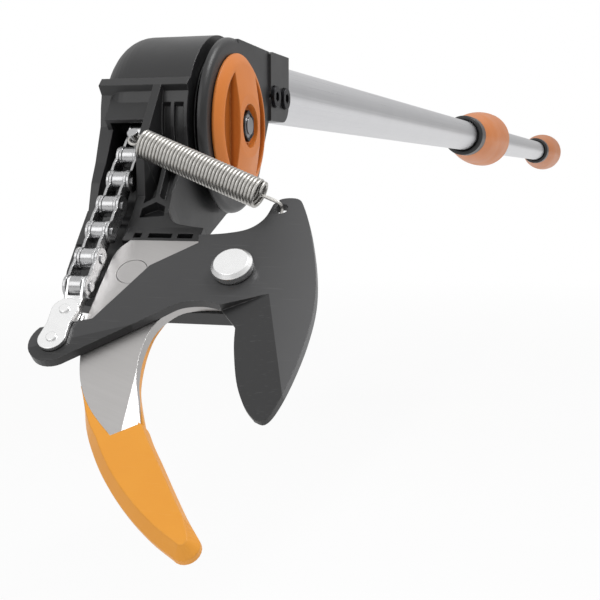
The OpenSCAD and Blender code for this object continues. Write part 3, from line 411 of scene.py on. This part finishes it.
aluminium = {
    "base": paint(212, 212, 214), "dark": paint(202, 202, 205), "dull": paint(196, 196, 199),
    "bright": paint(226, 226, 227), "turn": (0.0, 0.0, 0.0), "lineScale": (1500.0, 5.0, 1500.0),
    "lineBump": 0.10, "roughness": (0.27, 0.36), "smudge": 0.30, "corner": 0.3 * mm,
}
groundSteel = {
    "base": paint(184, 182, 181), "dark": paint(180, 178, 177), "dull": paint(176, 174, 172),
    "bright": paint(224, 224, 223), "turn": (headTilt, 0.0, 0.35), "lineScale": (8.0, 1400.0, 1400.0),
    "lineBump": 0.03, "roughness": (0.42, 0.48), "smudge": 0.35, "corner": 0.3 * mm,
}
platedSteel = {
    "base": paint(244, 244, 244), "dark": paint(241, 241, 241), "dull": paint(232, 232, 231),
    "bright": paint(250, 250, 250), "turn": (headTilt, 0.0, 0.0), "lineScale": (260.0, 260.0, 40.0),
    "lineBump": 0.01, "roughness": (0.24, 0.30), "smudge": 0.3, "corner": 0.4 * mm,
}
chainSteel = {
    "base": paint(186, 186, 187), "dark": paint(176, 176, 177), "dull": paint(158, 158, 158),
    "bright": paint(226, 226, 226), "turn": (headTilt, 0.0, 0.0), "lineScale": (700.0, 700.0, 40.0),
    "lineBump": 0.02, "roughness": (0.22, 0.30), "smudge": 0.4, "corner": 0.4 * mm,
}
springSteel = {
    "base": paint(198, 196, 192), "dark": paint(184, 182, 178), "dull": paint(168, 166, 162),
    "bright": paint(216, 214, 210), "turn": (headTilt, 0.0, 0.0), "lineScale": (900.0, 900.0, 900.0),
    "lineBump": 0.05, "roughness": (0.32, 0.44), "smudge": 0.4, "corner": 0.2 * mm,
}
machinedSteel = {
    "base": paint(168, 168, 170), "dark": paint(146, 146, 149), "dull": paint(130, 130, 132),
    "bright": paint(206, 206, 207), "turn": (0.0, 0.0, 0.0), "lineScale": (1600.0, 160.0, 160.0),
    "lineBump": 0.16, "roughness": (0.28, 0.42), "smudge": 0.4, "corner": 0.4 * mm,
}
blackenedSteel = {
    "base": paint(54, 54, 56), "dark": paint(42, 42, 45), "dull": paint(34, 34, 36),
    "bright": paint(104, 104, 106), "turn": (0.0, 0.0, 0.0), "lineScale": (500.0, 500.0, 500.0),
    "lineBump": 0.12, "roughness": (0.34, 0.5), "smudge": 0.5, "corner": 0.5 * mm,
}

blade = {
    "base": paint(54, 54, 55),
    "dark": paint(48, 48, 49),
    # painted highlight: the coat is made paler towards the blade's back
    "thin": paint(86, 86, 87),
    "thinFrom": (4.0 * mm, 46.0 * mm),          # from the pivot across the head, where the coat is painted paler as a highlight
    # painted shade on the ground face
    "ground": paint(30, 30, 31),
    "rubbed": paint(128, 128, 128),
    "roughness": (0.34, 0.46),
    "shine": 0.5,
    "turn": (headTilt, 0.0, -0.35),
    "lineScale": (1300.0, 10.0, 1300.0),
    "lineBump": 0.08,
    "lineDepth": 0.04 * mm,
    "grainScale": 3200.0,
    "grainShare": 0.5,                          # of the bump, beside the lines
    "patchScale": 18.0,
    "rubWidth": 0.5 * mm,
    "rubBreak": 500.0,
    "rubShare": 0.5,
    "scratchScale": 60.0,
    "scratchShare": 0.08,
    "smudgeScale": 20.0,
    "groundFrom": (15.3 * mm, -10.2 * mm),      # its ground face's corner from the pivot, across and along
    "groundTurn": 19.5,                         # degrees that its top line is turned in the blade's face
    "groundBlur": 0.1 * mm,                     # half the width of its border
    "corner": 0.4 * mm,
}


def bladeGroundShade(tree, place, settings):
    # share of the ground face, where darker shade is painted: what lies on the cutting edge's side of two
    # lines in the blade's face
    acrossHead = np.array([1.0, 0.0, 0.0])
    alongHead = np.array([0.0, math.cos(headTilt), -math.sin(headTilt)])
    turn = math.radians(settings["groundTurn"])
    first = math.cos(turn) * acrossHead + math.sin(turn) * alongHead
    second = math.cos(turn) * alongHead - math.sin(turn) * acrossHead
    corner = (np.array(joints["blade_swing"]["pos_m"]) + settings["groundFrom"][0] * acrossHead
              + settings["groundFrom"][1] * alongHead)
    share = 1.0
    for side in (first, second):
        where = put(tree, "ShaderNodeVectorMath", {0: place, 1: tuple(side)}, operation="DOT_PRODUCT")
        level, blur = float(corner @ side), settings["groundBlur"]
        inside = remap(tree, where.outputs["Value"], level - blur, level + blur, 1.0, 0.0)
        share = calc(tree, "MULTIPLY", inside, share)
    return share


def makeBladeCoat(settings):
    # dark baked coating: faint grinding lines, a painted highlight paler towards the back, and painted shade
    # on the ground face
    material, tree, shader, place, corner = startFinish("bladeCoat", 0.0, settings["corner"])
    fromPivot = [joints["blade_swing"]["pos_m"][0] + reach for reach in settings["thinFrom"]]
    lines = useGroup(tree, drawnLines, {0: place, 1: settings["turn"], 2: settings["lineScale"]})
    grain = useGroup(tree, mouldGrain, {0: place, 1: settings["grainScale"], 2: settings["patchScale"]})
    rubbing, scratches, smudges = wearMasks(tree, place, settings)
    colour = mixColours(tree, grain.outputs["Patches"], settings["base"], settings["dark"])
    out = put(tree, "ShaderNodeSeparateXYZ", {0: place}).outputs["X"]
    # painted highlight, paler towards the blade's back
    colour = mixColours(tree, remap(tree, out, *fromPivot, 0.0, 1.0), colour, settings["thin"])
    # painted shade on the ground face
    colour = mixColours(tree, bladeGroundShade(tree, place, settings), colour, settings["ground"])
    tree.links.new(wornColour(tree, colour, rubbing, scratches, settings), shader.inputs["Base Color"])
    smudgedShine(tree, shader, smudges, settings)
    grains = calc(tree, "MULTIPLY", grain.outputs["Height"], settings["grainShare"])
    height = calc(tree, "ADD", lines.outputs["Lines"], grains)
    finishNormal(tree, shader, corner, height, settings["lineBump"], settings["lineDepth"])
    return material


finishes = {
    "grainedNylon": makeNylon("grainedNylon", nylon),
    "gripOrange": makeOrange("gripOrange", gripOrange),
    "tipOrange": makeOrange("tipOrange", tipOrange),
    "drawnAluminium": makeMetal("drawnAluminium", aluminium),
    "groundSteel": makeMetal("groundSteel", groundSteel),
    "platedSteel": makeMetal("platedSteel", platedSteel),
    "chainSteel": makeMetal("chainSteel", chainSteel),
    "springSteel": makeMetal("springSteel", springSteel),
    "machinedSteel": makeMetal("machinedSteel", machinedSteel),
    "blackenedSteel": makeMetal("blackenedSteel", blackenedSteel),
    "bladeCoat": makeBladeCoat(blade),
}

finishedNodes = {
    "grainedNylon": ["pole_bracket", "head_frame", "head_cover", "end_collar", "grip_collar", "end_plug",
                     "cord_shoe", "chain_guide", "cord_pulley"],
    "gripOrange": ["lock_knob", "grip_ball", "end_ball"],
    "tipOrange": ["hook_tip"],
    "drawnAluminium": ["pole_tube"],
    "groundSteel": ["hook_plate", "hook_screws"],
    "platedSteel": ["twist_link", "tail_plates", "tail_pins", "pivot_bolt"],
    "chainSteel": ["chain_rollers", "chain_pins", "inner_links", "outer_links", "wheel_links", "spring_post"],
    "machinedSteel": ["tilt_axle", "axle_nut", "end_screw", "pivot_nut", "chain_wheel", "wheel_sleeve",
                      "grip_key"],
    "blackenedSteel": ["socket_screws", "knob_nut", "cover_screws"],
    "bladeCoat": ["blade"],
}


def setFinish(piece, material):
    piece.data.materials.clear()
    piece.data.materials.append(material)


for finishName, nodeNames in finishedNodes.items():
    for nodeName in nodeNames:
        setFinish(frame["nodes"][nodeName], finishes[finishName])
print("finishes on", sum(len(names) for names in finishedNodes.values()), "nodes")


# New pieces

def newPiece(name, points, faceSets, finish, body=None):
    # a mesh from an array of points and arrays of faces, shaded smooth
    mesh = bpy.data.meshes.new(name)
    corners = np.concatenate([faces.ravel() for faces in faceSets])
    sizes = np.concatenate([np.full(len(faces), faces.shape[1]) for faces in faceSets])
    mesh.vertices.add(len(points))
    mesh.vertices.foreach_set("co", points.astype(np.float32).ravel())
    mesh.loops.add(len(corners))
    mesh.loops.foreach_set("vertex_index", corners.astype(np.int32))
    mesh.polygons.add(len(sizes))
    mesh.polygons.foreach_set("loop_start", (np.cumsum(sizes) - sizes).astype(np.int32))
    mesh.update(calc_edges=True)
    mesh.validate()
    mesh.shade_smooth()
    piece = bpy.data.objects.new(name, mesh)
    bpy.context.scene.collection.objects.link(piece)
    setFinish(piece, finish)
    if body:
        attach(piece, body)
    return piece


def unit(vectors):
    return vectors / np.linalg.norm(vectors, axis=-1, keepdims=True)


def gridFaces(rows, columns):
    # quads of a grid whose columns close on themselves
    row, column = np.meshgrid(np.arange(rows - 1), np.arange(columns), indexing="ij")
    here = row * columns + column
    beside = row * columns + (column + 1) % columns
    return np.stack([here, beside, beside + columns, here + columns], -1).reshape(-1, 4)


def sweptWire(name, path, aside, radii, finish, body=None):
    # rings square to the path, turned to the direction given at each point, with radius radii[ring, side];
    # each end closes on a point that stands half a radius out
    rings, sides = radii.shape
    ahead = unit(np.gradient(path, axis=0))
    across = unit(aside - (aside * ahead).sum(1, keepdims=True) * ahead)
    upward = np.cross(ahead, across)
    turn = np.linspace(0, 2 * np.pi, sides, endpoint=False)
    spokes = across[:, None] * np.cos(turn)[None, :, None] + upward[:, None] * np.sin(turn)[None, :, None]
    points = (path[:, None] + radii[..., None] * spokes).reshape(-1, 3)
    tips = np.stack([path[0] - ahead[0] * radii[0].mean() / 2, path[-1] + ahead[-1] * radii[-1].mean() / 2])
    side = np.arange(sides)
    beside = (side + 1) % sides
    last = (rings - 1) * sides
    startFan = np.stack([beside, side, np.full(sides, rings * sides)], -1)
    endFan = np.stack([last + side, last + beside, np.full(sides, rings * sides + 1)], -1)
    faceSets = [gridFaces(rings, sides), startFan, endFan]
    return newPiece(name, np.concatenate([points, tips]), faceSets, finish, body)


# Return spring

spring = {
    "wire": 1.36 * mm,          # wire diameter
    "outside": 11.0 * mm,       # coil diameter over the wire
    "curls": 37,
    "ringsPerCurl": 26,
    "sides": 10,
    "coilFrom": 2.9 * mm,       # where the coil starts, from the post's axis
    "coilShort": 8.4 * mm,      # what the coil stops short of the blade's ear
    "eye": 2.3 * mm,            # radius of the eye round the post
    "eyeArc": (322, 40),        # degrees round the post, from the free end to the axis
    "eyeRings": 40,
    "easeCurls": 0.5,           # curls over which the coil winds out from the axis
    "hookDrop": 6.0 * mm,       # how far the hook goes down through the ear
    "hookBend": 2.0 * mm,
    "hookStart": 0.8 * mm,      # past the coil's end
    "hookRings": 8,
    "bendRings": 10,
}


def makeSpring(settings, finish):
    # the eye is an arc about the post, the coil a helix whose radius eases in from the axis at both ends,
    # and the hook a straight stretch, a quarter bend and a drop through the ear
    root = np.array(joints["spring_swing"]["pos_m"])
    along = np.array(joints["spring_stretch"]["axis"])
    down = np.array(joints["blade_swing"]["axis"])              # into the blade's face
    low, high = (np.array(corner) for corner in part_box("spring_hook"))
    length = ((low + high) / 2 - root) @ along + (high - low)[0] / 2 - settings["wire"]
    sideways = unit(np.cross(along, down))
    square = np.cross(along, sideways)
    radius = (settings["outside"] - settings["wire"]) / 2
    start, stop = settings["coilFrom"], length - settings["coilShort"]

    # eye, from its free end round to the axis
    turn = np.linspace(*np.radians(settings["eyeArc"]), settings["eyeRings"])
    eye = root + settings["eye"] * (np.cos(turn)[:, None] * along + np.sin(turn)[:, None] * sideways)

    # coil: its radius follows a smooth step at both ends
    steps = settings["curls"] * settings["ringsPerCurl"]
    share = np.linspace(0, 1, steps)
    curl = share * settings["curls"]
    ease = np.clip(np.minimum(curl, settings["curls"] - curl) / settings["easeCurls"], 0, 1)
    ease = ease * ease * (3 - 2 * ease)
    angle = 2 * np.pi * curl + np.pi
    forward = start + (stop - start) * share
    coil = (root + forward[:, None] * along
            + (radius * ease * np.cos(angle))[:, None] * sideways
            + (radius * ease * np.sin(angle))[:, None] * square)

    # hook: on along the axis, then a quarter bend and down
    bend = settings["hookBend"]
    reach = np.linspace(stop + settings["hookStart"], length - bend, settings["hookRings"])
    straight = root + reach[:, None] * along
    sweep = np.linspace(0, np.pi / 2, settings["bendRings"])[1:]
    fall = unit(down - (down @ along) * along)
    elbow = straight[-1] + bend * (np.sin(sweep)[:, None] * along + (1 - np.cos(sweep))[:, None] * fall)
    fallen = np.linspace(0, settings["hookDrop"] - bend, settings["hookRings"])[1:]
    drop = elbow[-1] + fallen[:, None] * fall

    path = np.concatenate([eye, coil, straight, elbow, drop])
    inCoil = np.concatenate([np.zeros(len(eye)), ease, np.zeros(len(straight) + len(elbow) + len(drop))])
    flat = np.concatenate([np.tile(square, (len(eye), 1)), np.tile(-square, (len(coil), 1)),
                           np.tile(sideways, (len(path) - len(eye) - len(coil), 1))])
    aside = (1 - inCoil)[:, None] * flat + inCoil[:, None] * along
    radii = np.full((len(path), settings["sides"]), settings["wire"] / 2)
    piece = sweptWire("coil_spring", path, aside, radii, finish)
    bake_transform(piece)
    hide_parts("return_spring", "spring_hook")
    return piece


makeSpring(spring, finishes["springSteel"])
print("return spring wound:", spring["curls"], "curls")


# Pull cord and the turn of it on the pulley

cord = {
    "strands": 8,
    "lay": 9.0 * mm,            # length of one twist of the strands
    "groove": 0.10,             # depth of the grooves between strands, as a share of the radius
    "ring": 0.6 * mm,
    "sides": 24,
    "layer": 0.3 * mm,          # gap between the wound turn and the cord that leaves over it
    "windFrom": 92.0,           # degrees from +Y towards +Z, where the turn starts
    "windTurn": 210.0,
    "base": paint(196, 194, 188),
    # painted shade in the grooves between strands
    "groovePaint": paint(120, 118, 112),
    "fibreScale": 3000.0,
    "fibreBump": 0.3,
    "fibreDepth": 0.05 * mm,
    "roughness": (0.55, 0.8),
    "corner": 0.1 * mm,
}


def makeCordFinish(settings):
    # bright fibre cord: paler on the strands, with painted shade in the grooves, from the piece's own strand
    # attribute
    material, tree, shader, place, corner = startFinish("laidCord", 0.0, settings["corner"])
    strand = put(tree, "ShaderNodeAttribute", attribute_name="strand").outputs["Fac"]
    fibre = noise(tree, place, settings["fibreScale"], 2.0)
    shade = calc(tree, "MULTIPLY", strand, remap(tree, fibre, 0.3, 0.7, 0.75, 1.0))
    # painted shade in the grooves
    colour = mixColours(tree, shade, settings["groovePaint"], settings["base"])
    tree.links.new(colour, shader.inputs["Base Color"])
    tree.links.new(remap(tree, fibre, 0.3, 0.7, *settings["roughness"]), shader.inputs["Roughness"])
    finishNormal(tree, shader, corner, fibre, settings["fibreBump"], settings["fibreDepth"])
    return material


def laidCord(name, path, aside, radius, settings, finish, body):
    # a round profile with a groove between strands, which turns steadily along the path
    gaps = np.linalg.norm(np.diff(path, axis=0), axis=1)
    run = np.concatenate([[0], np.cumsum(gaps)])
    turn = np.linspace(0, 2 * np.pi, settings["sides"], endpoint=False)
    phase = turn[None, :] + 2 * np.pi * run[:, None] / settings["lay"]
    strand = np.abs(np.cos(phase * settings["strands"] / 2))
    piece = sweptWire(name, path, aside, radius * (1 - settings["groove"] * (1 - strand)), finish, body)
    layer = piece.data.attributes.new("strand", "FLOAT", "POINT")
    layer.data.foreach_set("value", np.concatenate([strand.ravel(), [1.0, 1.0]]).astype(np.float32))
    return piece


def makePullCord(settings, finish):
    # one straight run down the pole, and an arc about the tilt axis in the pulley's groove
    low, high = (np.array(corner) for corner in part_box("pull_cord"))
    radius = (high[0] - low[0]) / 2
    middle = (low + high) / 2
    places = np.arange(low[1], high[1], settings["ring"])
    path = np.stack([np.full(len(places), middle[0]), places, np.full(len(places), middle[2])], -1)
    across = np.array([1.0, 0.0, 0.0])
    aside = np.tile(across, (len(path), 1))
    straight = laidCord("pull_cord_laid", path, aside, radius, settings, finish, "grip")
    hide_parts("pull_cord")

    centre = np.array(joints["drum_turn"]["pos_m"])
    wheel = middle[2] - centre[2] - 2 * radius - settings["layer"]
    turn = np.radians(settings["windTurn"])
    angle = np.radians(settings["windFrom"]) + np.arange(0, turn, settings["ring"] / wheel)
    arc = np.stack([np.full(len(angle), middle[0]), centre[1] + wheel * np.cos(angle),
                    centre[2] + wheel * np.sin(angle)], -1)
    aside = np.tile(across, (len(arc), 1))
    wound = laidCord("cord_turn_laid", arc, aside, radius, settings, finish, "drum")
    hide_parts("cord_winding")


makePullCord(cord, makeCordFinish(cord))
print("pull cord laid")


# Floor, light and background

studio = {
    "floorDrop": 0.16,          # metres below the lowest point
    "floorSize": 30.0,
    "floorShow": (0.86, 1.0),   # share of plain white that the floor shows to the camera, near by and far off
    "floorFade": (0.7, 2.6),    # metres from the head over which it goes from one to the other
    "floorTones": (paint(240, 240, 240), paint(246, 246, 246)),
    "floorMottle": 6.0,
    "fill": 0.60,               # strength of the light from all round
    "skyLow": 0.56,             # what shiny surfaces see near the horizon, where white is 1
    "skyHigh": 0.96,            # and overhead
    "skyFade": (0.10, 0.80),    # heights between which it brightens, as the sine of the angle
}
lamps = {
    "key": {"place": (0.62, -0.30, 1.25), "aim": (0.0, -0.45, -0.05), "size": 0.6, "power": 11.0},
    "front": {"place": (-0.5, -1.7, 0.7), "aim": (0.0, -0.45, -0.05), "size": 1.0, "power": 5.0},
}


def seenDirectly(tree):
    # shares of the rays that come from the camera, and from reflections or through glass
    path = put(tree, "ShaderNodeLightPath")
    shine = calc(tree, "MAXIMUM", path.outputs["Is Glossy Ray"], path.outputs["Is Transmission Ray"])
    return path.outputs["Is Camera Ray"], shine


def makeWorld(settings):
    # white behind the object; shiny surfaces see grey near the horizon that brightens overhead
    world = bpy.data.worlds.new("studioWhite")
    world.use_nodes = True
    tree = world.node_tree
    tree.nodes.clear()
    eye, shine = seenDirectly(tree)
    facing = put(tree, "ShaderNodeTexCoord").outputs["Generated"]
    height = put(tree, "ShaderNodeSeparateXYZ", {0: facing}).outputs["Z"]
    sky = remap(tree, height, *settings["skyFade"], settings["skyLow"], settings["skyHigh"])
    around = put(tree, "ShaderNodeBackground", {"Color": (1, 1, 1, 1), "Strength": settings["fill"]})
    mirrored = put(tree, "ShaderNodeBackground", {"Color": (1, 1, 1, 1), "Strength": sky})
    behind = put(tree, "ShaderNodeBackground", {"Color": (1, 1, 1, 1), "Strength": 1.0})
    first = put(tree, "ShaderNodeMixShader", {0: shine, 1: around.outputs[0], 2: mirrored.outputs[0]})
    second = put(tree, "ShaderNodeMixShader", {0: eye, 1: first.outputs[0], 2: behind.outputs[0]})
    end = put(tree, "ShaderNodeOutputWorld")
    tree.links.new(second.outputs[0], end.inputs[0])
    bpy.context.scene.world = world


def makeFloor(settings):
    half = settings["floorSize"] / 2
    level = cadBox[0].z - settings["floorDrop"]
    mesh = bpy.data.meshes.new("studioFloor")
    corners = [(-half, -half, level), (half, -half, level), (half, half, level), (-half, half, level)]
    mesh.from_pydata(corners, [], [(0, 1, 2, 3)])
    floor = bpy.data.objects.new("studioFloor", mesh)
    bpy.context.scene.collection.objects.link(floor)
    material = bpy.data.materials.new("paleFloor")
    material.use_nodes = True
    tree = material.node_tree
    tree.nodes.clear()
    place = put(tree, "ShaderNodeTexCoord").outputs["Object"]
    tone = mixColours(tree, noise(tree, place, settings["floorMottle"]), *settings["floorTones"])
    paper = put(tree, "ShaderNodeBsdfDiffuse", {"Color": tone})
    white = put(tree, "ShaderNodeEmission", {"Color": (1, 1, 1, 1), "Strength": 1.0})
    eye, shine = seenDirectly(tree)
    below = (0.0, joints["head_tilt"]["pos_m"][1], level)
    away = put(tree, "ShaderNodeVectorMath", {0: place, 1: below}, operation="DISTANCE").outputs["Value"]
    show = remap(tree, away, *settings["floorFade"], *settings["floorShow"])
    share = calc(tree, "MULTIPLY", calc(tree, "MAXIMUM", eye, shine), show)
    mixed = put(tree, "ShaderNodeMixShader", {0: share, 1: paper.outputs[0], 2: white.outputs[0]})
    end = put(tree, "ShaderNodeOutputMaterial")
    tree.links.new(mixed.outputs[0], end.inputs[0])
    setFinish(floor, material)


def makeLamps(settings):
    for name, lamp in settings.items():
        data = bpy.data.lights.new(name, "AREA")
        data.energy = lamp["power"]
        data.size = lamp["size"]
        light = bpy.data.objects.new(name, data)
        bpy.context.scene.collection.objects.link(light)
        light.location = lamp["place"]
        toward = Vector(lamp["aim"]) - Vector(lamp["place"])
        light.rotation_euler = toward.to_track_quat("-Z", "Y").to_euler()


makeWorld(studio)
makeFloor(studio)
makeLamps(lamps)
bpy.context.scene.view_settings.view_transform = "Standard"
print("studio lit")
